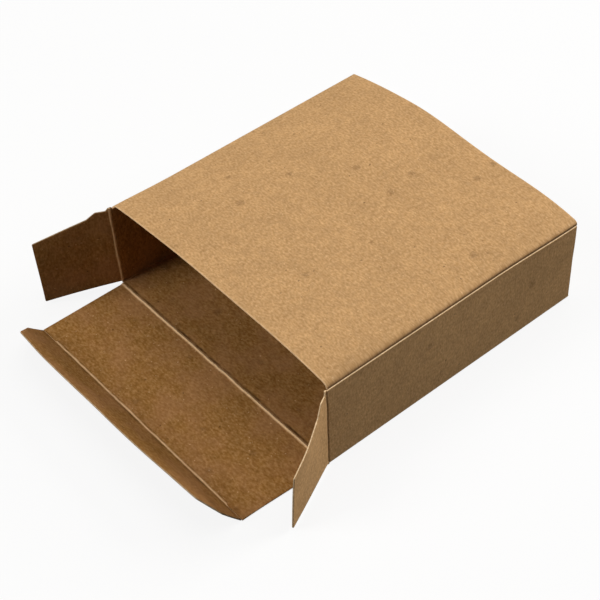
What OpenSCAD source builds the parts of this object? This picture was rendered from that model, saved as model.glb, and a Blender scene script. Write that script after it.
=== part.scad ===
// Tuck end folding carton in kraft board, with its front end open.
// A glued sleeve carries a closure with a tuck lip at each end and four dust flaps.
// Origin at the centre of the base on the surface it stands on, +X right, +Y to the closed end, +Z up.

/* [Carton] */
// Width over the side panels
carton_width = 101.6; // [60:0.1:180]
// Depth between the front and rear closure panels
carton_depth = 101.6; // [60:0.1:180]
// Height over the bottom and the top panel, beside its long folds
carton_height = 32; // [28:0.1:60]
// Thickness of the board
board = 0.5; // [0.3:0.05:0.6]
// Rise of the bowed top panel at mid width
top_bow = 4.2; // [0.5:0.1:8]

/* [Folds and creases] */
// Inside radius of the two long folds at the bottom
bottom_fold = 0.3; // [0.2:0.05:1]
// Inside radius of the two long folds at the top
top_fold = 0.8; // [0.3:0.05:1.5]
// Inside radius of the folds of the rear dust flaps
rear_fold = 0.15; // [0.1:0.05:0.3]
// Radius of the raised bead that a crease leaves on the inside
bead_radius = 0.36; // [0.3:0.01:0.4]
// Depth of a crease's turning axis below the inner face
axis_depth = 0.1; // [0.05:0.01:0.15]
// Running gap between a crease bead and the panel behind it
crease_gap = 0.1; // [0.08:0.01:0.2]

/* [Glue joint] */
// Reach of the glue flap down the inside of the right side panel
glue_flap_reach = 15.5; // [8:0.5:24]
// Slant of each end of the glue flap, over its reach
glue_flap_slant = 4; // [1:0.5:8]
// Depth of the right side panel's raw edge below the carton's height
raw_edge_drop = 1.3; // [1:0.1:3]

/* [Closures] */
// Inset of a closure panel from the outside of each side panel
closure_inset = 1; // [0.8:0.1:3]
// Distance of the top panel's front edge behind the front of the carton
front_setback = 1.8; // [1.5:0.1:4]
// Distance of the top panel's rear edge inside the rear of the carton
rear_setback = 0.3; // [0.1:0.1:4]
// Gap between a tucked lip and the top panel at its long folds
tuck_gap = 0.1; // [0.05:0.05:0.4]
// Length of a tuck lip from crease to free edge
lip_length = 15.9; // [10:0.1:20]
// Length of the slit at each end of a tuck lip's crease
slit_length = 7.2; // [3:0.1:12]
// Inset of a tuck lip's sides from its closure panel's, at the crease
lip_root_inset = 0.3; // [0.2:0.1:1]
// Inset of a tuck lip's sides where its corners begin
lip_side_inset = 1.3; // [0.5:0.1:4]
// Width of a tuck lip's slanted corner
lip_corner_width = 5.2; // [2:0.1:10]
// Height of a tuck lip's slanted corner
lip_corner_height = 7.6; // [3:0.1:9]
// Radius that rounds a tuck lip's corners
lip_rounding = 2.2; // [0.5:0.1:3]

/* [Dust flaps] */
// Length of a dust flap from crease to free end
dust_length = 25.5; // [16:0.1:40]
// Gap between a closed dust flap and the closure panel
dust_gap = 0.15; // [0.1:0.05:0.5]
// Height of a dust flap's lower edge above the standing surface
dust_bottom = 0.95; // [0.9:0.05:2]
// Drop of a dust flap's shoulder below the carton's height
shoulder_drop = 1.6; // [1.5:0.1:5]
// Length of a dust flap's shoulder beside its crease
shoulder_length = 4; // [2:0.1:8]
// Length of the steep step after the shoulder
step_length = 3; // [1:0.1:6]
// Drop of the steep step after the shoulder
step_drop = 2.9; // [1:0.1:8]
// Drop of the upper edge from the step to the free end
taper_drop = 4; // [1:0.1:8]
// Extra height of the left front dust flap, whose panel reaches up to the top fold
left_flap_rise = 0.2; // [0:0.1:0.2]
// Radius that rounds a dust flap's corners
dust_rounding = 0.9; // [0.3:0.1:1.2]

/* [Flaps as they stand] */
// Bend of the front tuck lip from flat
lip_bend = 46; // [20:1:60]
// Opening of the left front dust flap beyond its side panel
left_flap_open = 20; // [0:1:60]
// Opening of the right front dust flap beyond its side panel
right_flap_open = 25; // [0:1:60]

/* [Hidden] */

// Colours of the printed side and of the bare inner side
kraft = [0.77, 0.60, 0.42];
kraft_inside = [0.62, 0.47, 0.31];

// Steps in a fold's quarter turn, in the bow of the top panel and in a rounded corner
fold_steps = 8;
bow_steps = 36;
corner_steps = 6;
// Facets of a crease bead
bead_facets = 32;
// Length by which cutters and joined strips run past an edge
over = 0.2;

half_width = carton_width / 2;
half_depth = carton_depth / 2;
// Outer radius of the two long folds at the bottom
bottom_corner = bottom_fold + board;

// Distance of a crease's axis from the outer face
axis_to_outer = board - axis_depth;
// A panel ends this far from the axis of the crease that it carries
bead_reach = bead_radius + crease_gap;

// Bow of the top panel: a circle through both long folds and the middle of the bow.
// Its right fold stands one board further in, because the glue flap goes down inside the side panel.
top_left = -half_width;
top_right = half_width - board;
top_middle = (top_left + top_right) / 2;
half_top = (top_right - top_left) / 2;
bow_radius = (pow(half_top, 2) + pow(top_bow, 2)) / (2 * top_bow);
bow_centre = carton_height + top_bow - bow_radius;
// The top folds are round corners that touch the bow and the upright side panels
fold_outer = top_fold + board;
fold_x = half_top - fold_outer;
fold_z = bow_centre + sqrt(pow(bow_radius - fold_outer, 2) - pow(fold_x, 2));
fold_angle = atan2(fold_z - bow_centre, fold_x);

// Creases of the closures and of the front dust flaps
closure_crease_y = half_depth + axis_depth;
closure_crease_z = axis_to_outer;
dust_crease_y = -half_depth + dust_gap + axis_to_outer;
dust_crease_x = half_width - axis_to_outer;
// Length of a closure panel between its two creases: its tucked lip passes under the top panel
closure_length = carton_height - board - tuck_gap - 2 * axis_to_outer;
closure_half = half_width - closure_inset;

// Ends of the panels of the sleeve
bottom_end = closure_crease_y - bead_reach;
side_front_end = dust_crease_y + bead_reach;
side_rear_end = half_depth - dust_gap - board - rear_fold;
top_front = -half_depth + front_setback;
top_rear = half_depth - rear_setback;
raw_edge_z = carton_height - raw_edge_drop;
glue_flap_z = fold_z - glue_flap_reach;
// The glue flap is set back alike at both ends
glue_rear = -top_front;

// Upper edge of a dust flap
shoulder_z = carton_height - shoulder_drop;
step_z = shoulder_z - step_drop;
tip_z = step_z - taper_drop;

// Points along a round stretch
function arc(centre, radius, from, to, steps) =
    [for (i = [0:steps]) let (a = from + (to - from) * i / steps)
        centre + radius * [cos(a), sin(a)]];

// Unit vector from one point to another
function heading(from, to) = (to - from) / norm(to - from);

// Direction of a vector as an angle
function bearing(v) = atan2(v[1], v[0]);

// Angle wrapped into the half turn on either side of zero
function wrapped(a) = a > 180 ? a - 360 : a < -180 ? a + 360 : a;

// One corner of an outline rounded by an arc that touches both of its sides
function rounded_corner(before, corner, after, radius) =
    let (
        inward = heading(corner, before),
        onward = heading(corner, after),
        half_angle = acos(inward * onward) / 2,
        centre = corner + heading([0, 0], inward + onward) * radius / sin(half_angle),
        reach = radius / tan(half_angle),
        from = bearing(corner + inward * reach - centre),
        to = bearing(corner + onward * reach - centre)
    )
    arc(centre, radius, from, from + wrapped(to - from), corner_steps);

// An outline of [point, radius] pairs as plain points, with a radius of 0 for a sharp corner
function rounded_outline(corners) =
    let (n = len(corners))
    [for (i = [0:n - 1]) let (
        before = corners[(i + n - 1) % n][0],
        after = corners[(i + 1) % n][0],
        corner = corners[i][0],
        radius = corners[i][1]
    ) each (radius > 0 ? rounded_corner(before, corner, after, radius) : [corner])];

// Outline of the tray of bottom and side panels across the carton, inset by part of the board
function tray_outline(inset) =
    let (
        r = bottom_corner - inset,
        x = half_width - bottom_corner
    )
    concat(
        [[-half_width + inset, raw_edge_z]],
        arc([-x, bottom_corner], r, 180, 270, fold_steps),
        arc([x, bottom_corner], r, 270, 360, fold_steps),
        [[half_width - inset, raw_edge_z]]
    );

// Outline of the bowed top and its two folds, down to the raw edge, inset by part of the board
function top_outline(inset) =
    let (r = fold_outer - inset)
    concat(
        [[top_right - inset, raw_edge_z - over]],
        arc([top_middle + fold_x, fold_z], r, 0, fold_angle, fold_steps),
        arc([top_middle, bow_centre], bow_radius - inset, fold_angle, 180 - fold_angle, bow_steps),
        arc([top_middle - fold_x, fold_z], r, 180 - fold_angle, 180, fold_steps),
        [[top_left + inset, raw_edge_z - over]]
    );

// The board between an outline and its inner face
function board_between(outer, inner) =
    concat(outer, [for (i = [len(inner) - 1:-1:0]) inner[i]]);

// Draws a shape given across the carton, in x and z, between two depths
module along_depth(from, to) {
    translate([0, to, 0])
        rotate([90, 0, 0])
            linear_extrude(to - from)
                children();
}

// Bottom and side panels, with their two long folds
module tray() {
    along_depth(-bottom_end, side_rear_end)
        polygon(board_between(tray_outline(0), tray_outline(board)));
}

// Bowed top panel with its long folds
module bowed_top() {
    along_depth(top_front, top_rear)
        polygon(board_between(top_outline(0), top_outline(board)));
}

// Strip of the left side panel that reaches up to the top fold, in front of the top panel's edge
module left_side_top() {
    translate([-half_width, side_front_end, raw_edge_z - over])
        cube([board, side_rear_end - side_front_end, fold_z - raw_edge_z + over]);
}

// Glue flap inside the right side panel, with slanted ends
module glue_flap() {
    translate([top_right - board, 0, 0])
        rotate([90, 0, 90])
            linear_extrude(board)
                polygon([
                    [top_front, raw_edge_z],
                    [top_front + glue_flap_slant, glue_flap_z],
                    [glue_rear - glue_flap_slant, glue_flap_z],
                    [glue_rear, raw_edge_z]
                ]);
}

// Cuts the side panels back to the creases of the front dust flaps
module front_side_cutters() {
    for (side = [0, 1])
        mirror([side, 0, 0])
            translate([half_width - bottom_corner, -half_depth - over, bottom_corner])
                cube([bottom_corner + over, side_front_end + half_depth + over, carton_height]);
}

// Bottom strip between the rear dust flaps and the rear closure's crease
module rear_bottom_strip() {
    x = half_width - bottom_corner;
    translate([-x, side_rear_end - over, 0])
        cube([2 * x, bottom_end - side_rear_end + over, board]);
}

// Outline of a dust flap, from its crease outwards and up, with its upper edge raised
function dust_outline(from, rise) = rounded_outline([
    [[from, dust_bottom], 0],
    [[dust_length, dust_bottom], dust_rounding],
    [[dust_length, tip_z + rise], dust_rounding],
    [[shoulder_length + step_length, step_z + rise], dust_rounding],
    [[shoulder_length, shoulder_z + rise], dust_rounding],
    [[from, shoulder_z + rise], 0]
]);

// Rear dust flap on the left, folded in square, with its fold
module rear_dust_flap() {
    turn = rear_fold + board;
    y = half_depth - dust_gap;
    // flat part, hanging from the fold
    translate([-half_width + axis_to_outer, y, 0])
        rotate([90, 0, 0])
            linear_extrude(board)
                polygon(dust_outline(turn - axis_to_outer, 0));
    // fold from the side panel into the flap
    translate([-half_width + turn, y - turn, dust_bottom])
        linear_extrude(shoulder_z - dust_bottom)
            polygon(board_between(
                arc([0, 0], turn, 90, 180, fold_steps),
                arc([0, 0], rear_fold, 90, 180, fold_steps)
            ));
}

module sleeve() {
    color(kraft) {
        difference() {
            tray();
            front_side_cutters();
        }
        left_side_top();
        bowed_top();
        glue_flap();
        rear_bottom_strip();
        rear_dust_flap();
        mirror([1, 0, 0]) rear_dust_flap();
    }
}

// Board lying flat, with its crease axis along x at the origin and its inner face up
module flat_board() {
    translate([0, 0, -axis_to_outer])
        linear_extrude(board)
            children();
}

// Raised bead along a crease
module crease_bead(length) {
    rotate([0, 90, 0])
        cylinder(h = length, r = bead_radius, center = true, $fn = bead_facets);
}

// Closure panel lying flat, reaching from its crease along +y
module closure_panel() {
    flat_board()
        translate([-closure_half, 0])
            square([2 * closure_half, closure_length - bead_reach]);
    crease_bead(2 * closure_half);
}

// Tuck lip lying flat, reaching from its crease along +y, with a slit at each end of the crease
module tuck_lip() {
    root = closure_half - lip_root_inset;
    side = closure_half - lip_side_inset;
    tip = side - lip_corner_width;
    corner_y = lip_length - lip_corner_height;
    flat_board()
        polygon(rounded_outline([
            [[-root, 0], 0],
            [[root, 0], 0],
            [[side, corner_y], lip_rounding],
            [[tip, lip_length], lip_rounding],
            [[-tip, lip_length], lip_rounding],
            [[-side, corner_y], lip_rounding]
        ]));
    crease_bead(2 * (closure_half - slit_length));
}

// Swings a flat flap up by an angle about its crease
module folded(angle) {
    rotate([angle, 0, 0]) children();
}

// Places a flap on the front closure's crease, reaching forwards
module at_front_crease() {
    translate([0, -closure_crease_y, closure_crease_z])
        rotate([0, 0, 180])
            children();
}

// Places a flap on the rear closure's crease, reaching backwards
module at_rear_crease() {
    translate([0, closure_crease_y, closure_crease_z])
        children();
}

// Places a flap on the far crease of a closure panel
module at_lip_crease() {
    translate([0, closure_length, 0])
        children();
}

module front_closure_panel() {
    color(kraft_inside)
        at_front_crease()
            closure_panel();
}

module front_tuck_lip() {
    color(kraft_inside)
        at_front_crease()
            at_lip_crease()
                folded(lip_bend)
                    tuck_lip();
}

module rear_closure_panel() {
    color(kraft)
        at_rear_crease()
            folded(90)
                closure_panel();
}

module rear_tuck_lip() {
    color(kraft)
        at_rear_crease()
            folded(90)
                at_lip_crease()
                    folded(90)
                        tuck_lip();
}

// Front dust flap on the right, opened beyond its side panel by an angle and with its upper edge raised
module front_dust_flap(opening, rise) {
    translate([dust_crease_x, dust_crease_y, 0])
        rotate([0, 0, opening]) {
            translate([axis_to_outer, 0, 0])
                rotate([90, 0, -90])
                    linear_extrude(board)
                        polygon(dust_outline(0, rise));
            translate([0, 0, dust_bottom])
                cylinder(h = shoulder_z + rise - dust_bottom, r = bead_radius, $fn = bead_facets);
        }
}

module front_dust_flap_left() {
    color(kraft_inside)
        mirror([1, 0, 0])
            front_dust_flap(left_flap_open, left_flap_rise);
}

module front_dust_flap_right() {
    color(kraft)
        front_dust_flap(right_flap_open, 0);
}

sleeve();
front_closure_panel();
front_tuck_lip();
front_dust_flap_left();
front_dust_flap_right();
rear_closure_panel();
rear_tuck_lip();
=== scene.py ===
"""Looks of a tuck end folding carton in kraft board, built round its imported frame.

Every piece is made as the real carton is: a die-cut flat shape, given the thickness of the board and then folded.
Sizes are in millimetres on the board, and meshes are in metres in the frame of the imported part.
"""

from __future__ import annotations

import logging
import math
from dataclasses import dataclass, field
from enum import Enum, IntEnum
from typing import Callable, Sequence

import bmesh
import bpy
from mathutils import Matrix, Vector, noise


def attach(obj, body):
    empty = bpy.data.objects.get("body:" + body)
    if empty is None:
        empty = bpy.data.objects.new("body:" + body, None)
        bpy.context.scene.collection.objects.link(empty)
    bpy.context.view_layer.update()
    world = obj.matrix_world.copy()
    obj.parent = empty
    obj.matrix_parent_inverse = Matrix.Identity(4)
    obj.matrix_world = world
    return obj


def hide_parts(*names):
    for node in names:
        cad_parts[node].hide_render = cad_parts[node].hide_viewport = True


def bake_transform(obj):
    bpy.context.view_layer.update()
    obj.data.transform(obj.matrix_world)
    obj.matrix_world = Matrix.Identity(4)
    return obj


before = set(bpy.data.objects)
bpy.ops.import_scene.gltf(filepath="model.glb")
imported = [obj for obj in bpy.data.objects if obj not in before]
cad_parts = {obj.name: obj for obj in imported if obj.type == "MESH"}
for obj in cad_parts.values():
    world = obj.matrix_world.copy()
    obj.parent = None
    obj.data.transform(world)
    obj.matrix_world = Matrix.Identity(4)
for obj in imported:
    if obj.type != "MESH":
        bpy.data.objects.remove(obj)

log = logging.getLogger("carton")

MM = 0.001
QUARTER = math.pi / 2
SHARP = math.radians(32)
LIGHT = (1.0, 0.985, 0.96)
PHOTO_PIXELS = 600

Point = tuple[float, float]
Colour = tuple[float, float, float, float]
Place = Callable[[float, float, float], Vector]
Material = bpy.types.Material
Piece = bpy.types.Object
Socket = bpy.types.NodeSocket
Value = Socket | float


class Face(Enum):
    """Sides of the board, by material index on every piece."""

    PRINTED = 0
    BACK = 1
    CUT = 2


class Side(Enum):
    """Sides of the carton, by the sign of x."""

    LEFT = -1
    RIGHT = 1


class End(Enum):
    """Ends of the carton, by the sign of y."""

    FRONT = -1
    REAR = 1


class Part(IntEnum):
    """Stretches of the sleeve's strip of board, from its raw edge round to the glue flap's free edge."""

    RIGHT = 0
    RIGHT_FOOT = 1
    BOTTOM = 2
    LEFT_FOOT = 3
    LEFT = 4
    LEFT_FOLD = 5
    TOP = 6
    RIGHT_FOLD = 7
    GLUE = 8


@dataclass(frozen=True)
class CartonSizes:
    """Sizes of the carton in millimetres.

    The bow sets the length of the strip, and the bows at the two ends its shape. A crease that moves bends over its
    zone, to either side, and the meshes of two pieces meet at the joint, a little before their crease. Creases, joints
    and the top panel's edges are given by their distance from the middle of the carton.
    """

    width: float = 101.6
    depth: float = 101.6
    height: float = 32.0
    board: float = 0.5
    bow: float = 4.2
    bow_front: float = 3.5
    bow_rear: float = 5.0
    bottom_corner: float = 0.8
    top_corner: float = 1.3
    soft_corner_front: float = 2.9
    soft_corner_rear: float = 2.2
    raw_edge_drop: float = 0.6
    glue_reach: float = 15.5
    glue_slant: float = 4.0
    front_setback: float = 1.8
    rear_setback: float = 0.3
    closure_inset: float = 1.0
    slit: float = 7.2
    slit_half: float = 0.06
    tuck_gap: float = 0.1
    axis_depth: float = 0.1
    dust_gap: float = 0.15
    zone: float = 0.5
    joint: float = 0.9

    @property
    def half_width(self) -> float:
        """Half of the carton's width."""
        return self.width / 2

    @property
    def half_depth(self) -> float:
        """Half of the carton's depth."""
        return self.depth / 2

    @property
    def axis_to_outer(self) -> float:
        """Distance of a crease's axis from the printed face."""
        return self.board - self.axis_depth

    @property
    def closure_crease(self) -> float:
        """Crease of a closure."""
        return self.half_depth + self.axis_depth

    @property
    def side_axis(self) -> float:
        """Distance of a dust flap's axis from the carton's middle plane."""
        return self.half_width - self.axis_to_outer

    @property
    def dust_crease(self) -> float:
        """Crease of a dust flap."""
        return self.half_depth - self.dust_gap - self.axis_to_outer

    @property
    def closure_length(self) -> float:
        """Length of a closure between its two creases."""
        return self.height - self.board - self.tuck_gap - 2 * self.axis_to_outer

    @property
    def closure_half(self) -> float:
        """Half of a closure's width."""
        return self.half_width - self.closure_inset

    @property
    def tuck_half(self) -> float:
        """Half of a tuck crease, between the slits at its ends."""
        return self.closure_half - self.slit

    @property
    def bottom_joint(self) -> float:
        """Joint of a closure with the bottom."""
        return self.closure_crease - self.joint

    @property
    def side_joint(self) -> float:
        """Joint of a dust flap with its side panel."""
        return self.dust_crease - self.joint

    @property
    def top_front(self) -> float:
        """Front edge of the top panel."""
        return self.half_depth - self.front_setback

    @property
    def top_rear(self) -> float:
        """Rear edge of the top panel."""
        return self.half_depth - self.rear_setback

    @property
    def raw_edge(self) -> float:
        """Height of the right side panel's raw upper edge."""
        return self.height - self.raw_edge_drop


@dataclass(frozen=True)
class GridSteps:
    """Largest steps between the cuts of a mesh in millimetres, on the sleeve's strip in the order of Part."""

    over_crease: float = 0.1
    along_crease: float = 0.9
    flap: float = 1.6
    closure: float = 2.4
    depth: float = 2.6
    strip: tuple[float, ...] = (2.6, 0.16, 1.5, 0.16, 2.6, 0.2, 2.2, 0.2, 1.3)


SIZES = CartonSizes()
STEPS = GridSteps()


def clamp(share: float) -> float:
    """Holds a share between 0 and 1."""
    return min(1.0, max(0.0, share))


def smooth_step(share: float) -> float:
    """Eases a share of a way from 0 to 1, clamped at both ends."""
    t = clamp(share)
    return t * t * (3 - 2 * t)


def bent(across: float) -> float:
    """Share of a crease's fold that is reached at a distance from it."""
    return smooth_step((across + SIZES.zone) / (2 * SIZES.zone))


def ripple(u: float, v: float, wave: float, seed: float) -> float:
    """Smooth noise over the board, from about -1 to 1, for a wave's length in millimetres and a seed."""
    return noise.noise(Vector((u / wave, v / wave, seed)))


def spread(low: float, high: float, step: float) -> list[float]:
    """Even cuts between two places, no further apart than the step, with both ends left out."""
    count = max(1, math.ceil((high - low) / step))
    return [low + (high - low) * i / count for i in range(1, count)]


def flap_cuts(length: float, step: float) -> list[float]:
    """Cuts along a flap: fine ones over its crease, then even ones up to its length."""
    fine = STEPS.over_crease
    return [*[i * fine for i in range(-8, 9)], *spread(8 * fine, length, step)]


def turned(a: float, b: float, angle: float) -> Point:
    """A point in a plane, turned about the origin."""
    return a * math.cos(angle) - b * math.sin(angle), a * math.sin(angle) + b * math.cos(angle)


def away(azimuth: float, elevation: float) -> Vector:
    """Direction away from the carton for an angle round it, 0 before its open front, and one above the horizon."""
    az, el = math.radians(azimuth), math.radians(elevation)
    return Vector((math.sin(az) * math.cos(el), -math.cos(az) * math.cos(el), math.sin(el)))


def put(name: str, data: bpy.types.ID) -> Piece:
    """Makes an object and puts it in the scene.

    Args:
        name: Name of the object.
        data: Its mesh, lamp or camera.

    Returns:
        The object.
    """
    made = bpy.data.objects.new(name, data)
    bpy.context.scene.collection.objects.link(made)
    return made


def rounded(corners: Sequence[tuple[float, float, float]], steps: int = 6) -> list[Point]:
    """Outline with rounded corners.

    Args:
        corners: Corner places with the radius of each, 0 for a sharp one.
        steps: Steps in each rounded corner.

    Returns:
        The points of the outline.
    """
    points: list[Point] = []
    for i, (x, y, radius) in enumerate(corners):
        corner = Vector((x, y))
        if radius == 0:
            points.append((x, y))
            continue
        before = (Vector(corners[i - 1][:2]) - corner).normalized()
        after = (Vector(corners[(i + 1) % len(corners)][:2]) - corner).normalized()
        half = math.acos(max(-1.0, min(1.0, before.dot(after)))) / 2
        centre = corner + (before + after).normalized() * radius / math.sin(half)
        start = corner + before * radius / math.tan(half) - centre
        turn = start.angle_signed(corner + after * radius / math.tan(half) - centre)
        for k in range(steps + 1):
            arm = start.copy()
            arm.rotate(Matrix.Rotation(-turn * k / steps, 2))
            points.append(tuple(centre + arm))
    return points


class NodeTree:
    """Short calls for the nodes that the finishes and the stage share."""

    def __init__(self, owner: Material | bpy.types.World) -> None:
        """Takes the node tree of a material or a world."""
        owner.use_nodes = True
        self.tree = owner.node_tree

    def find(self, kind: str) -> bpy.types.Node:
        """First node of a kind."""
        return next(node for node in self.tree.nodes if node.type == kind)

    def feed(self, target: Socket, value: Value | Sequence[float]) -> None:
        """Gives an input a link, a number or a colour.

        Args:
            target: The input.
            value: An output to link, or what to set.
        """
        if isinstance(value, Socket):
            self.tree.links.new(value, target)
        else:
            target.default_value = value

    def add(self, kind: str, inputs: dict[str | int, Value | Sequence[float]], **settings: str) -> bpy.types.Node:
        """Adds a node.

        Args:
            kind: Blender's name of the node, after its first two words.
            inputs: What each input gets, by its name or number.
            **settings: Settings of the node.

        Returns:
            The node.
        """
        node = self.tree.nodes.new(f"ShaderNode{kind}")
        for key, value in settings.items():
            setattr(node, key, value)
        for key, value in inputs.items():
            self.feed(node.inputs[key], value)
        return node

    def noise(self, place: Socket, scale: float, detail: float, roughness: float, distortion: float = 0.0) -> Socket:
        """Fractal noise: its waves to the millimetre, finer layers, their weight and a twist of the pattern."""
        numbers = {"Scale": scale, "Detail": detail, "Roughness": roughness, "Distortion": distortion}
        return self.add("TexNoise", {"Vector": place, **numbers}).outputs["Fac"]

    def mix(self, share: Value, first: Socket | Colour, second: Colour) -> Socket:
        """A colour with a share of a second colour mixed in."""
        return self.add("Mix", {"Factor": share, 6: first, 7: second}, data_type="RGBA").outputs[2]

    def vector(self, operation: str, first: Socket, second: Value | Sequence[float]) -> Socket:
        """One step of arithmetic on places or colours."""
        slot = "Scale" if operation == "SCALE" else 1
        return self.add("VectorMath", {0: first, slot: second}, operation=operation).outputs[0]

    def math(self, operation: str, first: Value, second: Value) -> Socket:
        """One step of arithmetic on numbers."""
        return self.add("Math", {0: first, 1: second}, operation=operation).outputs[0]

    def span(self, value: Socket, low: float, high: float, new_low: float = 0.0, new_high: float = 1.0) -> Socket:
        """Maps one range of values on another, clamped."""
        ends = {"From Min": low, "From Max": high, "To Min": new_low, "To Max": new_high}
        return self.add("MapRange", {"Value": value, **ends}).outputs["Result"]

    def seen(self) -> Socket:
        """Where a surface is looked at, straight, mirrored or through something.

        Returns:
            1 there, and 0 where it only gives light.
        """
        rays = self.add("LightPath", {}).outputs
        mirrored = self.math("MAXIMUM", rays["Is Camera Ray"], rays["Is Glossy Ray"])
        return self.math("MAXIMUM", mirrored, rays["Is Transmission Ray"])


@dataclass(frozen=True)
class Mark:
    """One kind of small mark, scattered over the board.

    Places that may hold a mark are a cell apart, in millimetres, and a share of them does. The radius is the largest
    one, the seed keeps one scatter apart from another, and the tone is in display values from 0 to 255.
    """

    cell: float
    radius: float
    seed: float
    share: float
    strength: float
    tone: tuple[int, int, int]

    def spots(self, tree: NodeTree, place: Socket) -> Socket:
        """Finds the marks.

        Args:
            tree: Node tree of the finish.
            place: Place on the blank in millimetres.

        Returns:
            How far the mark covers the board there: 0 beside it.
        """
        ragged = tree.add("TexNoise", {"Vector": place, "Scale": 2.2}).outputs["Color"]
        moved = tree.vector("ADD", place, tree.vector("SCALE", ragged, self.radius * 1.6))
        moved = tree.vector("ADD", moved, (self.seed, self.seed * 1.7, self.seed * 2.3))
        cells = tree.add("TexVoronoi", {"Vector": moved, "Scale": 1 / self.cell}, voronoi_dimensions="2D").outputs
        parts = tree.add("SeparateColor", {0: cells["Color"]}).outputs
        there = tree.math("LESS_THAN", parts["Red"], self.share)
        size = tree.span(parts["Green"], 0.0, 1.0, self.radius * 0.35 / self.cell, self.radius / self.cell)
        inside = tree.math("SUBTRACT", 1.0, tree.math("DIVIDE", cells["Distance"], size))
        spot = tree.math("MULTIPLY", tree.span(inside, 0.0, 0.5), there)
        return tree.math("MULTIPLY", spot, self.strength)


@dataclass(frozen=True)
class KraftFinish:
    """Kraft board: mottled fibres, small flecks and dark specks over a warm brown.

    Tones are in display values from 0 to 255, and the contrast is how much darker and lighter the fibres get. Broken
    fibres and painted highlights show the rubbed tone, and painted shade darkens the colour. Clouds is the share by
    which the paler patches turn to the tone with the cooler values added, specks the share of the board's cells with a
    dark speck, and the relief's depth is in metres.
    """

    name: str
    tone: tuple[int, int, int]
    contrast: float
    # rubbed tone: broken fibres at creases, and painted highlights along the top panel's edges
    rubbed: tuple[int, int, int] = (250, 212, 164)
    cooler: tuple[int, int, int] = (10, 8, 26)
    clouds: float = 0.0
    specks: float = 0.14
    roughness: float = 0.86
    relief: float = 0.35
    relief_depth: float = 0.00012

    @property
    def marks(self) -> list[Mark]:
        """Pale flecks, brown splinters, soft smudges and dark specks, in the order in which they lie on the board."""
        return [
            Mark(cell=1.9, radius=0.26, seed=3.0, share=0.14, strength=0.45, tone=self.rubbed),
            Mark(cell=2.6, radius=0.27, seed=11.0, share=0.16, strength=0.40, tone=(88, 58, 34)),
            Mark(cell=13.0, radius=2.0, seed=41.0, share=2 * self.specks, strength=0.32, tone=(96, 66, 38)),
            Mark(cell=6.0, radius=0.42, seed=27.0, share=self.specks, strength=0.6, tone=(70, 44, 24)),
        ]

    @staticmethod
    def linear(tone: Sequence[float], more: Sequence[float] = (0, 0, 0)) -> Colour:
        """Display values, with something added, as the linear colour that a shader takes."""
        values = [(c + extra) / 255 for c, extra in zip(tone, more)]
        return (*[v / 12.92 if v <= 0.04045 else ((v + 0.055) / 1.055) ** 2.4 for v in values], 1.0)

    def build(self) -> Material:
        """Makes the material.

        Returns:
            The material, drawn from the place on the blank and the rubbing, painted shade and painted highlights marked
            there.
        """
        material = bpy.data.materials.new(self.name)
        tree = NodeTree(material)
        place = tree.add("Attribute", {}, attribute_name="blank").outputs["Vector"]
        wear_and_painted_light = tree.add("Attribute", {}, attribute_name="wear_and_painted_light").outputs["Fac"]

        cloud = tree.noise(place, scale=0.07, detail=3.0, roughness=0.55)
        blotch = tree.noise(place, scale=0.32, detail=4.0, roughness=0.65, distortion=0.4)
        stretched = tree.vector("MULTIPLY", place, (0.75, 1.25, 1.0))
        fibre = tree.noise(stretched, scale=1.25, detail=1.5, roughness=0.5)
        grain = tree.noise(place, scale=3.6, detail=2.0, roughness=0.6)

        deep, base, pale = (self.linear(self.tone, (way * self.contrast,) * 3) for way in (-1, 0, 1))
        colour = tree.mix(tree.span(fibre, 0.26, 0.5), deep, base)
        colour = tree.mix(tree.span(fibre, 0.5, 0.74), colour, pale)
        for pattern, low, high, share in ((cloud, 0.3, 0.7, 0.06), (blotch, 0.3, 0.7, 0.1), (grain, 0.25, 0.75, 0.06)):
            colour = tree.vector("SCALE", colour, tree.span(pattern, low, high, 1 - share, 1 + share))
        paler = tree.span(cloud, 0.42, 0.62, 0.0, self.clouds)
        colour = tree.mix(paler, colour, self.linear(self.tone, self.cooler))
        for mark in self.marks:
            colour = tree.mix(mark.spots(tree, place), colour, self.linear(mark.tone))
        # painted shade: a mark below 0 darkens the colour
        colour = tree.vector("SCALE", colour, tree.span(wear_and_painted_light, -1.0, 0.0, 0.25, 1.0))
        # a mark above 0 turns to the rubbed tone: rubbed creases and painted highlights
        colour = tree.mix(tree.span(wear_and_painted_light, 0.0, 1.0, 0.0, 0.95), colour, self.linear(self.rubbed))

        height = tree.math("ADD", tree.math("MULTIPLY", fibre, 0.6), tree.math("MULTIPLY", grain, 0.4))
        inputs = {"Strength": self.relief, "Distance": self.relief_depth, "Height": height}
        surface = tree.find("BSDF_PRINCIPLED").inputs
        tree.feed(surface["Base Color"], colour)
        tree.feed(surface["Roughness"], tree.span(fibre, 0.3, 0.7, self.roughness - 0.05, self.roughness + 0.05))
        tree.feed(surface["Normal"], tree.add("Bump", inputs).outputs["Normal"])
        tree.feed(surface["Specular IOR Level"], 0.1)
        return material


PRINTED_KRAFT = KraftFinish("kraft_printed_side", tone=(195, 154, 106), contrast=17)
BACK_KRAFT = KraftFinish("kraft_back_side", tone=(162, 117, 63), contrast=22, specks=0.16, relief=0.5, clouds=0.34)
CUT_KRAFT = KraftFinish("kraft_cut_edge", tone=(235, 205, 165), contrast=20, specks=0.0, relief=0.6)


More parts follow.
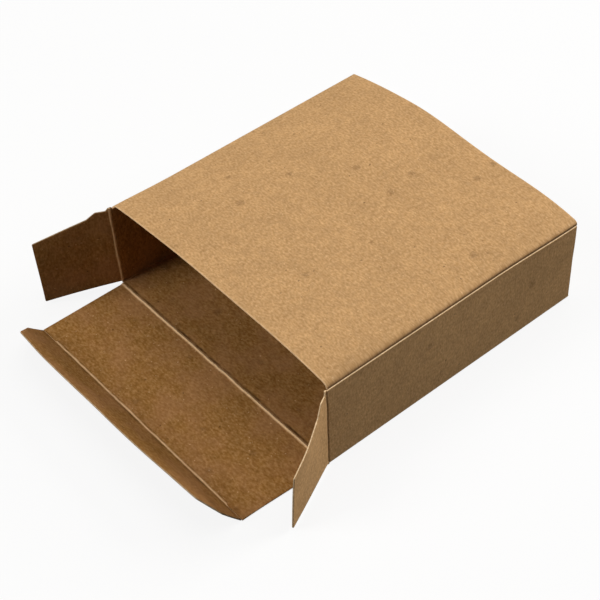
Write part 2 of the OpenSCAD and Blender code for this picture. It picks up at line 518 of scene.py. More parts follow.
@dataclass
class BoardPiece:
    """One die-cut piece of board, given its thickness and folded.

    Attributes:
        outline: Points of the flat shape.
        cuts: Grid lines across and along the flat shape.
        place: Takes two flat places and the depth below the printed face to the frame, in millimetres.
        blank: Takes two flat places to the place on the whole blank, for the grain.
        wear_and_painted_light: Takes two flat places to how rubbed the board is there, with the shade and highlights
            that are painted there.
        butts: Lines where the piece meets its neighbour: which flat place, and its value.
        rim: Width of the softened rim of the cut edges.
        outside: Share of the mark that shows on the printed side, below 0 where it turns to painted shade in a groove
            and a painted highlight beside it.
        edge: Mark added on the cut edges, below 0 for painted shade on the edges of a piece that lies in shade.
        fit: How near two places are that count as one.
    """

    name: str
    outline: list[Point]
    cuts: tuple[list[float], list[float]]
    place: Place
    blank: Callable[[float, float], Point]
    wear_and_painted_light: Callable[[float, float], float]
    butts: list[tuple[int, float]]
    rim: float = 0.1
    outside: float = 0.4
    edge: float = 0.0
    fit: float = 1e-4

    def build(self, finishes: Sequence[Material]) -> Piece:
        """Makes the mesh and its object.

        Args:
            finishes: Materials of the printed side, the back and the cut edges.

        Returns:
            The object, in the frame.
        """
        bm = bmesh.new()
        bm.faces.new([bm.verts.new((u, v, 0.0)) for u, v in self.outline])
        for axis, places in enumerate(self.cuts):
            for where in places:
                point, normal = Vector(), Vector()
                point[axis], normal[axis] = where, 1.0
                flat = [*bm.verts, *bm.edges, *bm.faces]
                bmesh.ops.bisect_plane(bm, geom=flat, dist=self.fit / 10, plane_co=point, plane_no=normal)
        raised = bmesh.ops.extrude_face_region(bm, geom=list(bm.faces))["geom"]
        raised = [item for item in raised if isinstance(item, bmesh.types.BMVert)]
        bmesh.ops.translate(bm, vec=(0, 0, SIZES.board), verts=raised)
        bmesh.ops.recalc_face_normals(bm, faces=bm.faces)
        rims = [edge for edge in bm.edges if self.is_rim(edge)]
        bmesh.ops.bevel(bm, geom=rims, offset=self.rim, segments=1, profile=0.5, affect="EDGES")
        self.fold(bm)
        mesh = bpy.data.meshes.new(self.name)
        bm.to_mesh(mesh)
        bm.free()
        for finish in finishes:
            mesh.materials.append(finish)
        return put(self.name, mesh)

    def is_rim(self, edge: bmesh.types.BMEdge) -> bool:
        """Whether an edge is between a face of the board and a cut side.

        Args:
            edge: Edge of the flat board, with its thickness.

        Returns:
            False also for an edge that butts against a neighbour.
        """
        for axis, where in self.butts:
            if all(abs(vert.co[axis] - where) < self.fit for vert in edge.verts):
                return False
        flat = [abs(face.normal.z) > 0.5 for face in edge.link_faces]
        return len(flat) == 2 and flat[0] != flat[1]

    def fold(self, bm: bmesh.types.BMesh) -> None:
        """Marks the sides and the grain of the flat board, then takes each point to its place in the frame.

        Args:
            bm: The flat board, with its thickness.
        """
        bmesh.ops.triangulate(bm, faces=[face for face in bm.faces if len(face.verts) > 4])
        grain = bm.verts.layers.float_vector.new("blank")
        rub_and_painted_light = bm.verts.layers.float.new("wear_and_painted_light")
        for face in bm.faces:
            side = Face.CUT if abs(face.normal.z) < 0.5 else Face.BACK if face.normal.z > 0 else Face.PRINTED
            face.material_index, face.smooth = side.value, True
        for vert in bm.verts:
            u, v, h = vert.co
            vert[grain] = (*self.blank(u, v), h)
            # the printed side takes the outside share, which below 0 turns a bead's rub into painted groove shade; cut
            # edges add edge, below 0 painted shade
            vert[rub_and_painted_light] = self.wear_and_painted_light(u, v) * (1.0 if h > SIZES.board / 2 else self.outside)
            if 0.01 < h < SIZES.board - 0.01:
                vert[rub_and_painted_light] += self.edge
            vert.co = self.place(u, v, h) * MM
        bmesh.ops.recalc_face_normals(bm, faces=bm.faces)
        for edge in bm.edges:
            edge.smooth = len(edge.link_faces) == 2 and edge.calc_face_angle(0.0) < SHARP


@dataclass(frozen=True)
class Crease:
    """A scored line that stays a hinge: a bead on the back and a shallow groove on the printed side.

    The seed offsets its irregularities. Widths are given by their half: the bead's at its foot, its rubbed line's, and
    that of the lines of painted shade beside the bead, one on its near side and one on its far side.
    """

    seed: float
    bead: float = 0.34
    groove: float = 0.13
    half: float = 0.42
    rubbed_half: float = 0.46
    # strengths of the painted shade beside the bead, on its near and its far side
    pressed: tuple[float, float] = (0.2, 0.2)
    pressed_off: float = 0.95
    pressed_half: float = 0.34

    @classmethod
    def under_closure(cls, sign: float) -> Crease:
        """The crease between the bottom and the closure at one end, given by the sign of y."""
        # painted shade beside the bead: strong on the bottom's side inside the box, faint on the closure's side
        return cls(seed=13.0 + sign, pressed=(0.8, 0.1))

    def wander(self, along: float) -> float:
        """Sideways drift of the bead at a place along the crease."""
        return 0.32 * ripple(along, 0.0, 9.0, self.seed) + 0.2 * ripple(along, 0.0, 2.6, self.seed + 5)

    def depth(self, across: float, along: float, h: float) -> float:
        """Depth below the printed face once the crease is pressed in.

        Args:
            across: Distance from the crease.
            along: Place along the crease.
            h: Depth of the point in the flat board.

        Returns:
            The new depth.
        """
        bell = math.exp(-(((across - self.wander(along)) / self.half) ** 2) * 1.6)
        swell = 1 + 0.35 * ripple(along, 3.0, 2.6, self.seed + 9)
        share = h / SIZES.board
        return h + bell * (share * self.bead * swell + (1 - share) * self.groove)

    def rub_and_painted_light(self, across: float, along: float) -> float:
        """How rubbed the board is near the crease, with painted shade in lines beside the bead.

        Args:
            across: Distance from the crease.
            along: Place along the crease.

        Returns:
            Above 0 where it is rubbed, below 0 where shade is painted beside the bead.
        """
        off = across - self.wander(along)
        rubbed = math.exp(-((off / self.rubbed_half) ** 2)) * (1.15 + 0.6 * ripple(along, across, 2.0, self.seed + 30))
        # painted shade: dark lines beside the bead, where its shadow and the fold's shade fall
        beside = math.exp(-(((abs(off) - self.pressed_off) / self.pressed_half) ** 2))
        return rubbed - self.pressed[0 if off < 0 else 1] * beside * (1 + 0.9 * ripple(along, 1.0, 3.0, self.seed + 40))


@dataclass(frozen=True)
class Stretch:
    """One stretch of a cross section, from its start: straight, or an arc that turns by its curvature a millimetre."""

    x: float
    z: float
    heading: float
    curvature: float
    length: float

    def walk(self, share: float) -> tuple[float, float, float]:
        """Place and heading after a share of the stretch.

        Args:
            share: Share of the way, from 0 to 1.

        Returns:
            x, z and the heading there.
        """
        way, start = share * self.length, self.heading
        if self.curvature == 0:
            return self.x + way * math.cos(start), self.z + way * math.sin(start), start
        end = start + self.curvature * way
        return (self.x + (math.sin(end) - math.sin(start)) / self.curvature,
                self.z - (math.cos(end) - math.cos(start)) / self.curvature, end)


@dataclass
class Sleeve:
    """Glued sleeve: right side, bottom, left side, bowed top and the glue flap, in one strip of board.

    Its panels swell off flat and its side panels bulge. The glue flap stands in behind the raw edge by the joint's gap,
    and the right side leans out at the rear. Ledges stand out past the joints, beside the closures and over the left
    rear dust flap's shoulder, and a notch parts the bottom's from the side panels. The starts are where its stretches
    begin along the strip, with its end.
    """

    finishes: Sequence[Material]
    swell: float = 0.16
    bulge: float = 0.35
    joint_gap: float = 0.4
    rear_lean: float = 0.8
    # width of the painted highlight along the top panel's front and rear edges
    painted_highlight_rim: float = 0.45
    bottom_ledge: float = 0.35
    shoulder: float = 30.45
    shoulder_ledge: float = 0.45
    notch: float = 0.15
    sections: dict[Point, list[Stretch]] = field(default_factory=dict)
    starts: list[float] = field(default_factory=lambda: [0.0])
    bottom_middle: float = 0.0

    def section(self, bow: float, soft: float) -> list[Stretch]:
        """Cross section of the sleeve's printed face for one height of the bow.

        Args:
            bow: Rise of the top panel at mid width.
            soft: Radius of the fold above the glue flap.

        Returns:
            Its stretches, in the order of Part.
        """
        if (bow, soft) in self.sections:
            return self.sections[bow, soft]
        half_top = SIZES.half_width - SIZES.board / 2
        radius = (half_top**2 + bow**2) / (2 * bow)
        centre = SIZES.height + bow - radius

        def top_fold(corner: float) -> Point:
            """Height and turn of a fold that touches the bow and the upright panel, for its radius."""
            rise = math.sqrt((radius - corner) ** 2 - (half_top - corner) ** 2)
            return centre + rise, math.atan2(rise, half_top - corner)

        corner = SIZES.bottom_corner
        left_z, left_turn = top_fold(SIZES.top_corner)
        right_z, right_turn = top_fold(soft)
        moves = [
            (0.0, SIZES.raw_edge - corner),
            (QUARTER, corner),
            (0.0, 2 * (SIZES.half_width - corner)),
            (QUARTER, corner),
            (0.0, left_z - corner),
            (left_turn, SIZES.top_corner),
            (math.pi - left_turn - right_turn, radius),
            (right_turn, soft),
            (0.0, SIZES.glue_reach + right_z - left_z),
        ]
        x, z, heading = SIZES.half_width, SIZES.raw_edge, -QUARTER
        stretches: list[Stretch] = []
        for turn, size in moves:
            stretches.append(Stretch(x, z, heading, -1 / size if turn else 0.0, turn * size if turn else size))
            x, z, heading = stretches[-1].walk(1.0)
        self.sections[bow, soft] = stretches
        return stretches

    def __post_init__(self) -> None:
        """Finds the places along the strip."""
        for stretch in self.section(SIZES.bow, SIZES.top_corner):
            self.starts.append(self.starts[-1] + stretch.length)
        self.bottom_middle = (self.starts[Part.BOTTOM] + self.starts[Part.LEFT_FOOT]) / 2

    def place(self, p: float, t: float, h: float) -> Vector:
        """Takes a place on the strip to the frame.

        Args:
            p: Place along the strip.
            t: Place along the depth of the carton.
            h: Depth below the printed face.

        Returns:
            The point in millimetres.
        """
        part = Part(sum(p > start for start in self.starts[1:-1]))
        length = self.starts[part + 1] - self.starts[part]
        share = (p - self.starts[part]) / length
        rear = clamp((t + SIZES.top_front) / (SIZES.top_front + SIZES.top_rear))
        bow = SIZES.bow_front + (SIZES.bow_rear - SIZES.bow_front) * rear
        soft = SIZES.soft_corner_front + (SIZES.soft_corner_rear - SIZES.soft_corner_front) * rear
        x, z, heading = self.section(round(bow, 2), round(soft, 2))[part].walk(share)
        off = self.swollen(part, p, t, z) - self.creased(part, (share - 0.5) * length, t, h)
        held = {Part.LEFT: 1.0, Part.LEFT_FOLD: 1 - share}.get(part, 0.0)
        out, forward = (held * way for way in self.settle(t, z))
        below = p - self.starts[Part.GLUE]
        gap = self.joint_gap * smooth_step(1 + below / 1.2) * smooth_step(1 - below / 7)
        x -= math.sin(heading) * off + gap * (1 + 0.3 * ripple(t, 0.0, 24.0, 5.0)) + out
        z += math.cos(heading) * off
        if part is not Part.BOTTOM and x > 0:
            x += self.rear_lean * smooth_step((t - 15) / 35) * smooth_step(z / 28)
        lift = smooth_step((part - Part.LEFT + share) / 2)
        return Vector((x, t - forward, z + lift * self.warp(x, t, rear)))

    def swollen(self, part: Part, p: float, t: float, z: float) -> float:
        """How far the board stands out from its panel's plane.

        Args:
            part: Stretch of the strip.
            p: Place along the strip.
            t: Place along the depth of the carton.
            z: Height.

        Returns:
            The distance, below 0 inwards.
        """
        free = min(1.0, min(abs(p - start) for start in self.starts) / 12)
        swell = self.swell * free * ripple(p, t, 38.0, 2.0)
        if part is Part.BOTTOM:
            return -abs(swell) * 0.5
        if part in (Part.RIGHT, Part.LEFT, Part.GLUE):
            swell += self.bulge * math.sin(math.pi * clamp(z / 31)) * (1 - (t / SIZES.half_depth) ** 2)
        return swell

    @staticmethod
    def warp(x: float, t: float, rear: float) -> float:
        """How far the top panel is off an even bow.

        Args:
            x: Place across the carton.
            t: Place along its depth.
            rear: Share of the way to the rear.

        Returns:
            The rise: below 0 towards the right, and above 0 at the front left corner.
        """
        flat = math.sin(math.pi * clamp((x + 30 - 8 * rear) / 70)) ** 2
        corner = smooth_step((-x - 25) / 22) * smooth_step((-t - 25) / 24)
        return 0.6 * corner - (0.75 + 1.35 * rear**1.5) * flat

    @staticmethod
    def settle(t: float, z: float) -> Point:
        """How far the left panel's front upper corner has come outwards and forwards."""
        share = smooth_step(z / 30) * smooth_step((-t - 34) / 16)
        return 0.5 * share, 0.35 * share

    @staticmethod
    def creased(part: Part, off: float, t: float, h: float) -> float:
        """Depth of a point once the beads inside the long folds are there.

        Args:
            part: Stretch of the strip.
            off: Distance from the middle of the stretch.
            t: Place along the depth of the carton.
            h: Depth in the flat board.

        Returns:
            The new depth.
        """
        if part % 2 == 0 or h <= SIZES.board / 2:
            return h
        return h + 0.16 * math.exp(-((off / 0.45) ** 2)) * (1 + 0.4 * ripple(t, part, 3.0, 4.0))

    def outline(self) -> list[Point]:
        """Outline of the strip, with the steps that the flaps' creases leave at both ends.

        Returns:
            Its points, from the raw edge along the front and back along the rear.
        """
        s = self.starts
        middle, half = self.bottom_middle, SIZES.closure_half
        side, bottom = SIZES.side_joint, SIZES.bottom_joint
        lip, panel = bottom + self.bottom_ledge, side + self.shoulder_ledge
        shoulder = s[Part.LEFT] + self.shoulder - SIZES.bottom_corner
        right, left = s[Part.RIGHT_FOOT] - self.notch, s[Part.LEFT] + self.notch
        fold, glue = s[Part.LEFT_FOLD], s[Part.GLUE]

        def end(top: float, corner: list[Point]) -> list[Point]:
            """One end of the strip.

            Args:
                top: Top panel's edge.
                corner: Upper corner of the left panel.

            Returns:
                Its points, for the rear.
            """
            tab = min(top, SIZES.top_front)
            return [
                (0.0, side), (right, side), (right, lip), (middle - half, lip), (middle - half, bottom),
                (middle + half, bottom), (middle + half, lip), (left, lip), (left, side),
                *corner, (fold + 0.8, top), (glue - 0.3, top), (glue + 0.4, tab), (s[-1], tab - SIZES.glue_slant),
            ]

        front = end(SIZES.top_front, [(fold + 0.2, side)])
        rear = end(SIZES.top_rear, [(shoulder, side), (shoulder, panel), (fold + 0.2, panel)])
        return [(p, -t) for p, t in front] + rear[::-1]

    def build(self) -> Piece:
        """Makes the sleeve.

        Returns:
            The piece, riding on the sleeve's body.
        """
        across: list[float] = []
        for step, low, high in zip(STEPS.strip, self.starts, self.starts[1:]):
            across += [low, *spread(low, high, step)]
        reach = SIZES.closure_crease
        along = [*spread(-reach, reach, STEPS.depth), self.painted_highlight_rim - SIZES.top_front, SIZES.top_rear - self.painted_highlight_rim]
        along += [sign * (reach - 1.1 - 0.2 * i) for i in range(8) for sign in (-1, 1)]
        board = BoardPiece(
            "carton_sleeve", self.outline(), (across[1:], along), self.place, blank=lambda p, t: (p, t), wear_and_painted_light=self.rub_and_painted_light,
            butts=[(1, sign * joint) for joint in (SIZES.side_joint, SIZES.bottom_joint) for sign in (-1, 1)],
        )
        piece = board.build(self.finishes)
        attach(piece, "sleeve")
        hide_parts("sleeve")
        return piece

    def rub_and_painted_light(self, p: float, t: float) -> float:
        """How rubbed the board is, most at the long folds, with a painted shadow in the gap at the right fold and a
        painted highlight along the top panel's front and rear edges.

        Args:
            p: Place along the strip.
            t: Place along the depth of the carton.

        Returns:
            Above 0 where it is rubbed and where a highlight is painted; below 0 where shade is painted, and darker just
            below the raw edge.
        """
        near = min(abs(p - (a + b) / 2) for a, b in zip(self.starts[1:-1:2], self.starts[2::2]))
        folds = 0.3 * math.exp(-((near / 0.9) ** 2)) * (0.7 + 0.5 * ripple(t, p, 6.0, 31.0))
        if self.starts[Part.BOTTOM] < p < self.starts[Part.LEFT_FOOT]:
            crease = Crease.under_closure(math.copysign(1.0, t))
            return folds + crease.rub_and_painted_light(abs(t) - SIZES.closure_crease, self.bottom_middle - p)
        if not self.starts[Part.LEFT_FOLD] < p < self.starts[Part.GLUE]:
            return folds - 0.4 * smooth_step(1 - p / 0.3)
        edge = min(t + SIZES.top_front, SIZES.top_rear - t)
        front = 0.5 - t / SIZES.depth
        past = p - self.starts[Part.RIGHT_FOLD]
        # painted shade: darker over the right fold towards the front, and a painted shadow in the gap between the fold
        # and the raw edge
        pressed = 0.3 * front * smooth_step(past / 4 + 1) + 0.45 * smooth_step((past - 0.4) / 0.9)
        pressed += 1.5 * smooth_step((past - 0.85) / 0.35)
        # painted highlight along the top panel's front and rear edges, brighter at the front
        rubbed = (1.0 + front) * smooth_step(1 - edge / self.painted_highlight_rim)
        return folds - pressed + rubbed * (0.9 + 0.5 * ripple(p, t, 3.0, 57.0))


@dataclass
class Closure:
    """Closure panel at one end of the carton, with the crease that joins it to the bottom."""

    end: End
    sleeve: Sleeve
    flare: float = 1.0
    waviness: float = 0.22

    @property
    def folded(self) -> float:
        """Angle at which the closure stands, from flat."""
        return QUARTER if self.end is End.REAR else 0.0

    @property
    def crease(self) -> Crease:
        """Crease between the bottom and the closure."""
        return Crease.under_closure(self.end.value)

    def swing(self, d: float, z: float, angle: float) -> Point:
        """Takes a distance from the crease, a height over its axis and a fold to y and z in the frame."""
        a, b = turned(d, z, angle)
        return self.end.value * (SIZES.closure_crease + a), SIZES.axis_to_outer + b

    def place(self, x: float, d: float, h: float) -> Vector:
        """Takes a place on the closure to the frame.

        Args:
            x: Place across the carton.
            d: Distance from the crease.
            h: Depth below the printed face.

        Returns:
            The point in millimetres.
        """
        lift = self.waviness * smooth_step((d - 2) / 8) * ripple(x, d, 30.0, 6.0 + self.end.value)
        lift = max(0.0, lift) if self.end is End.FRONT else 0.6 * lift
        y, z = self.swing(d, self.crease.depth(d, x, h) - SIZES.axis_to_outer + lift, self.folded * bent(d))
        if self.end is End.FRONT:
            x += self.flare * smooth_step((x - 30) / 20) * (1 - smooth_step(d / SIZES.closure_length))
        return Vector((x, y, z))

    def build(self) -> Piece:
        """Makes the closure.

        Returns:
            The piece, in the frame.
        """
        half, tuck_half, length = SIZES.closure_half, SIZES.tuck_half, SIZES.closure_length
        near, far, cut = -SIZES.joint, length - SIZES.joint, length - SIZES.slit_half
        outline = [
            (-half, near), (half, near), (half, cut), (tuck_half, cut), (tuck_half, far),
            (-tuck_half, far), (-tuck_half, cut), (-half, cut),
        ]
        middle = self.sleeve.bottom_middle
        name = self.end.name.lower()
        cuts = spread(-half, half, STEPS.along_crease), flap_cuts(far, STEPS.closure)
        board = BoardPiece(
            f"{name}_closure_board", outline, cuts, self.place,
            blank=lambda x, d: (middle - x, self.end.value * (SIZES.closure_crease + d)),
            wear_and_painted_light=lambda x, d: self.crease.rub_and_painted_light(d, x), butts=[(1, near), (1, far)],
        )
        piece = board.build(self.sleeve.finishes)
        self.joint_point(-SIZES.zone)
        self.joint_point(SIZES.zone)
        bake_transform(piece)
        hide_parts(f"{name}_closure_panel")
        return piece

    def joint_point(self, d: float) -> Vector:
        """Point in the middle of the board near the crease, in metres."""
        y, z = self.swing(d, SIZES.board / 2 - SIZES.axis_to_outer, self.folded if d > 0 else 0.0)
        return Vector((0, y, z)) * MM


@dataclass
class TuckLip:
    """Tuck lip on a closure's far crease, with a slit at each end of the crease."""

    closure: Closure
    length: float = 15.9
    root_inset: float = 0.3
    side_inset: float = 1.3
    corner_width: float = 5.2
    corner_height: float = 7.6
    rounding: float = 1.5
    bend: float = math.radians(46)
    twist: float = math.radians(5.6)
    hollow: float = 1.1
    waviness: float = 0.5

    @property
    def folded(self) -> float:
        """Angle at which the lip stands, from its closure."""
        return QUARTER if self.closure.end is End.REAR else self.bend

    @property
    def crease(self) -> Crease:
        """Crease between the closure and the lip."""
        # painted shade beside the bead on both sides, strongest on the lip's side, in the V of the fold
        return Crease(seed=47.0 + self.closure.end.value, bead=0.32, groove=0.16, pressed=(0.45, 0.8))

    def swing(self, e: float, z: float, angle: float) -> Point:
        """Takes a distance from the crease, a height over its axis and a fold to y and z in the frame."""
        a, b = turned(e, z, angle)
        return self.closure.swing(SIZES.closure_length + a, b, self.closure.folded)

    def place(self, x: float, e: float, h: float) -> Vector:
        """Takes a place on the lip to the frame.

        Args:
            x: Place across the carton.
            e: Distance from the crease.
            h: Depth below the printed face.

        Returns:
            The point in millimetres.
        """
        inside = smooth_step((SIZES.tuck_half - abs(x)) / 0.6 + 1)
        h += inside * (self.crease.depth(e, x, h) - h)
        fold, lift = self.folded, 0.0
        if self.closure.end is End.FRONT:
            reach = max(0.0, e / self.length)
            fold += self.twist * (max(0.0, (x + 15) / 60) ** 1.5 + 0.2 * smooth_step((-x - 28) / 16))
            lift = reach * (self.waviness * ripple(x, 0.0, 34.0, 71.0) - self.hollow * (1 - reach))
        return Vector((x, *self.swing(e, h - SIZES.axis_to_outer + lift, fold * bent(e))))

    def build(self) -> Piece:
        """Makes the lip.

        Returns:
            The piece, in the frame.
        """
        half, tuck_half, near, foot = SIZES.closure_half, SIZES.tuck_half, -SIZES.joint, SIZES.slit_half
        root, side, tip = half - self.root_inset, half - self.side_inset, half - self.side_inset - self.corner_width
        shoulder = self.length - self.corner_height
        outline = rounded([
            (-root, foot, 0), (-tuck_half, foot, 0), (-tuck_half, near, 0), (tuck_half, near, 0),
            (tuck_half, foot, 0), (root, foot, 0), (side, shoulder, self.rounding), (tip, self.length, self.rounding),
            (-tip, self.length, self.rounding), (-side, shoulder, self.rounding),
        ])
        sleeve, sign = self.closure.sleeve, self.closure.end.value
        name = self.closure.end.name.lower()
        cuts = spread(-half, half, STEPS.along_crease), flap_cuts(self.length, STEPS.flap)
        board = BoardPiece(
            f"{name}_lip_board", outline, cuts, self.place,
            blank=lambda x, e: (sleeve.bottom_middle - x, sign * (SIZES.closure_crease + SIZES.closure_length + e)),
            # edge below 0: painted shade on the lip's cut edges, which lie in shade
            wear_and_painted_light=lambda x, e: 0.8 * self.crease.rub_and_painted_light(e, x), butts=[(1, near)], edge=-0.5,
        )
        piece = board.build(sleeve.finishes)
        start, end = self.joint_point(-SIZES.zone), self.joint_point(SIZES.zone)
        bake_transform(piece)
        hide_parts(f"{name}_tuck_lip")
        return piece

    def joint_point(self, e: float) -> Vector:
        """Point in the middle of the board near the crease, in metres."""
        y, z = self.swing(e, SIZES.board / 2 - SIZES.axis_to_outer, self.folded if e > 0 else 0.0)
        return Vector((0, y, z)) * MM


@dataclass
class DustFlap:
    """Dust flap on a side panel, with its die-cut shoulder.

    It opens outwards from its panel's plane, and leans out over a run from its crease. Its shoulder stands at a height,
    with a rise over that, a step beside it and a taper to the tip. A root rise leaves a peak of board at the crease.
    """

    side: Side
    end: End
    sleeve: Sleeve
    opening: float = -QUARTER
    rise: float = 0.0
    lean: float = 0.0
    lean_run: float = 20.0
    waviness: float = 0.35
    length: float = 25.5
    lower: float = 0.95
    shoulder: float = 30.4
    shoulder_length: float = 4.0
    step_length: float = 3.0
    step_drop: float = 2.9
    taper_drop: float = 4.0
    rounding: float = 0.5
    shoulder_rounding: float = 0.9
    # scales the crease's whole mark: the rubbed bead and the painted shade beside it
    rubbed: float = 0.8
    # painted shade in the crease's groove on the printed side, with a painted highlight beside it
    groove_shade: float = 0.6
    root_rise: float = 0.0
    root_width: float = 0.4

    @property
    def crease(self) -> Crease:
        """Crease between the side panel and the flap."""
        return Crease(seed=83.0 + 7 * self.side.value + self.end.value, bead=0.26, groove=0.16)

    def swing(self, g: float, depth: float, angle: float) -> Point:
        """Takes a distance from the crease, a depth below the printed face and a fold to x and y in the frame."""
        out, forward = turned(SIZES.axis_to_outer - depth, -g, angle)
        return self.side.value * (SIZES.side_axis + out), self.end.value * (SIZES.dust_crease - forward)

    def place(self, g: float, z: float, h: float) -> Vector:
        """Takes a place on the flap to the frame.

        Args:
            g: Distance from the crease.
            z: Height over the surface that the carton stands on.
            h: Depth below the printed face.

        Returns:
            The point in millimetres.
        """
        warp = self.waviness * smooth_step((g - 1) / 18) * ripple(g, z, 26.0, 91.0 + self.side.value)
        warp += self.lean * smooth_step(g / self.lean_run) * min(1.0, 0.2 + z / 30)
        if self.end is End.REAR:
            warp = -abs(warp)
        x, y = self.swing(g, self.crease.depth(g, z, h) - warp, self.opening * bent(g))
        if self.side is Side.LEFT:
            sideways, ahead = Sleeve.settle(self.end.value * SIZES.dust_crease, z)
            x, y = x - sideways, y - ahead
        return Vector((x, y, z))

    def outline(self) -> list[Point]:
        """Outline of the flap.

        Returns:
            Its points, from the joint with its panel outwards and up.
        """
        near, top = -SIZES.joint, self.shoulder + self.rise
        step = top - self.step_drop
        root = [(near, top, 0)]
        if self.root_rise:
            peak, width = top + self.root_rise, self.root_width
            root = [(3 * width, top, 0.8), (width, peak, 0.3), (-0.1, peak, 0.2), (0.05 + near, peak - 0.35, 0), *root]
        return rounded([
            (near, self.lower, 0), (self.length, self.lower, self.rounding),
            (self.length, step - self.taper_drop, self.rounding),
            (self.shoulder_length + self.step_length, step, self.rounding),
            (self.shoulder_length, top, self.shoulder_rounding), *root,
        ])

    def build(self) -> Piece:
        """Makes the flap.

        Returns:
            The piece: a rear one rides on the sleeve, a front one stays in the frame.
        """
        left = self.side is Side.LEFT
        foot, turn = (self.sleeve.starts[Part.LEFT], 1) if left else (self.sleeve.starts[Part.RIGHT_FOOT], -1)
        name = f"{self.end.name.lower()}_dust_flap_{self.side.name.lower()}"
        upright = spread(self.lower, self.shoulder + self.rise, STEPS.along_crease)
        board = BoardPiece(
            f"{name}_board", self.outline(), (flap_cuts(self.length, STEPS.flap), upright), self.place,
            blank=lambda g, z: (foot + turn * (z - SIZES.bottom_corner), self.end.value * (SIZES.dust_crease + g)),
            wear_and_painted_light=lambda g, z: self.rubbed * self.crease.rub_and_painted_light(g, z),
            # outside below 0: painted shade in the groove on the printed side; edge: painted shade on the left flaps'
            # cut edges
            butts=[(0, -SIZES.joint)], outside=-self.groove_shade, edge=-0.75 if left else 0.0,
        )
        piece = board.build(self.sleeve.finishes)
        if self.end is End.REAR:
            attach(piece, "sleeve")
            return piece
        body = f"front_dust_{self.side.name.lower()}"
        self.joint_point(-SIZES.zone)
        self.joint_point(SIZES.zone)
        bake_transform(piece)
        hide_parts(name)
        return piece

    def joint_point(self, g: float) -> Vector:
        """Point in the middle of the board near the crease, in metres."""
        x, y = self.swing(g, SIZES.board / 2, self.opening if g > 0 else 0.0)
        return Vector((x, y, SIZES.height / 2)) * MM


@dataclass(frozen=True)
class PhotoCamera:
    """Camera at the photograph's viewing angle, in degrees and millimetres, its focal length in the photo's pixels."""

    azimuth: float = 51.608
    elevation: float = 45.054
    roll: float = -2.91
    distance: float = 492.34
    target: tuple[float, float, float] = (-5.608, -13.092, 0.0)
    focal: float = 1546.67
    sensor: float = 36.0

    def build(self) -> None:
        """Makes the camera and sets it as the scene's."""
        back = away(self.azimuth, self.elevation)
        right = Vector((-back.y, back.x, 0.0)).normalized()
        data = bpy.data.cameras.new("photo_camera")
        data.sensor_width = self.sensor
        data.lens = self.focal * self.sensor / PHOTO_PIXELS
        data.clip_start, data.clip_end = 0.01, 20.0
        camera = put("photo_camera", data)
        turn = Matrix((right, back.cross(right), back)).transposed().to_4x4()
        turn @= Matrix.Rotation(math.radians(self.roll), 4, "Z")
        camera.matrix_world = Matrix.Translation((Vector(self.target) + back * self.distance) * MM) @ turn
        bpy.context.scene.camera = camera


@dataclass(frozen=True)
class Lamp:
    """Square soft lamp aimed at the carton, in degrees and metres, with level 1 for colours as they are written."""

    name: str
    azimuth: float
    elevation: float
    size: float
    level: float
    distance: float = 1.3

    def build(self) -> None:
        """Makes the lamp."""
        way = away(self.azimuth, self.elevation)
        data = bpy.data.lights.new(self.name, "AREA")
        data.shape, data.size, data.energy = "SQUARE", self.size, self.level * (math.pi * self.distance) ** 2
        data.color = LIGHT
        lamp = put(self.name, data)
        lamp.location = way * self.distance
        lamp.rotation_mode = "QUATERNION"
        lamp.rotation_quaternion = way.to_track_quat("Z", "Y")


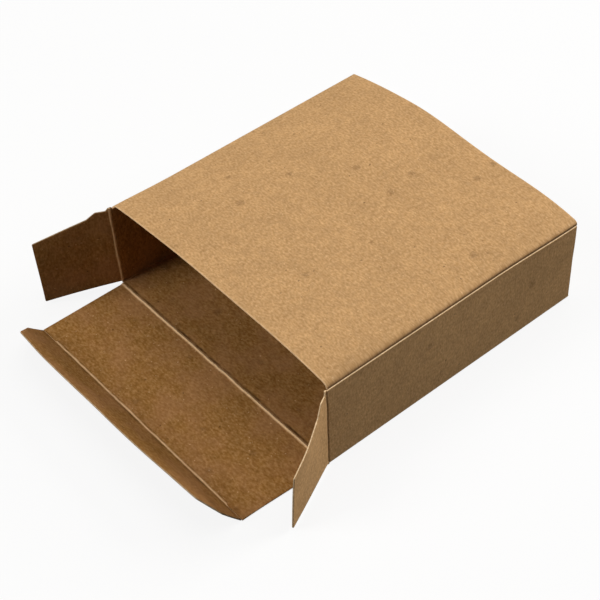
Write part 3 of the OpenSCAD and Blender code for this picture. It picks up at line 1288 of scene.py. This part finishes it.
@dataclass(frozen=True)
class Studio:
    """Plain pale floor, three soft lamps and a little light from all round.

    The floor's reach and depth under the carton are in metres. It throws its bounce of the light back on the carton,
    and looks plain white, but for a share of pale surface that takes the shadow.
    """

    lamps: tuple[Lamp, ...] = (
        Lamp("rear_light", azimuth=159, elevation=27, size=0.5, level=0.68),
        Lamp("front_light", azimuth=335, elevation=38, size=0.6, level=0.48),
        Lamp("top_light", azimuth=190, elevation=74, size=1.2, level=0.49),
    )
    sky: float = 0.04
    floor_reach: float = 3.0
    floor_depth: float = 0.00005
    floor_bounce: float = 0.05
    floor_pale: float = 0.9
    floor_white: float = 0.86

    def build(self) -> None:
        """Makes the floor, the lamps and the world."""
        self.floor()
        for lamp in self.lamps:
            lamp.build()
        world = bpy.context.scene.world = bpy.data.worlds.new("studio")
        tree = NodeTree(world)
        background = tree.find("BACKGROUND").inputs
        tree.feed(background["Color"], (*LIGHT, 1.0))
        tree.feed(background["Strength"], tree.span(tree.seen(), 0.0, 1.0, self.sky, 1.0))

    def floor(self) -> None:
        """Makes a pale floor that looks white and keeps a soft shadow."""
        mesh = bpy.data.meshes.new("floor")
        corners = [(x * self.floor_reach, y * self.floor_reach, 0) for x, y in ((-1, -1), (1, -1), (1, 1), (-1, 1))]
        mesh.from_pydata(corners, [], [(0, 1, 2, 3)])
        floor = put("floor", mesh)
        floor.location.z = -self.floor_depth
        material = bpy.data.materials.new("pale_floor")
        tree = NodeTree(material)
        surface = tree.find("BSDF_PRINCIPLED")
        tree.feed(surface.inputs["Base Color"], (*[self.floor_bounce] * 3, 1.0))
        tree.feed(surface.inputs["Roughness"], 0.9)
        pale = tree.add("BsdfDiffuse", {"Color": (*[self.floor_pale] * 3, 1.0)}).outputs[0]
        white = tree.add("Emission", {}).outputs[0]
        shown = tree.add("MixShader", {0: self.floor_white, 1: pale, 2: white}).outputs[0]
        choice = tree.add("MixShader", {0: tree.seen(), 1: surface.outputs[0], 2: shown}).outputs[0]
        tree.feed(tree.find("OUTPUT_MATERIAL").inputs["Surface"], choice)
        mesh.materials.append(material)


def main() -> None:
    """Builds the carton, its stage and its camera."""
    logging.basicConfig(level=logging.INFO, format="%(name)s: %(message)s")
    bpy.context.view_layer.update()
    bpy.context.scene.view_settings.view_transform = "Standard"
    finishes = [finish.build() for finish in (PRINTED_KRAFT, BACK_KRAFT, CUT_KRAFT)]
    PhotoCamera().build()
    Studio().build()
    sleeve = Sleeve(finishes)
    made = [sleeve.build()]
    for end in End:
        closure = Closure(end, sleeve)
        made += [closure.build(), TuckLip(closure).build()]
    flaps = [
        DustFlap(Side.LEFT, End.FRONT, sleeve, math.radians(20), rise=0.8, lean=0.9, lean_run=8.0,
                 shoulder_length=4.5, step_drop=2.25, root_rise=1.1, rubbed=0.58),
        DustFlap(Side.RIGHT, End.FRONT, sleeve, math.radians(25), lean=1.8, root_rise=1.1, groove_shade=0.35),
        DustFlap(Side.LEFT, End.REAR, sleeve),
        DustFlap(Side.RIGHT, End.REAR, sleeve),
    ]
    made += [flap.build() for flap in flaps]
    for piece in made:
        log.info("%s: %d faces", piece.name, len(piece.data.polygons))


if __name__ == "__main__":
    main()
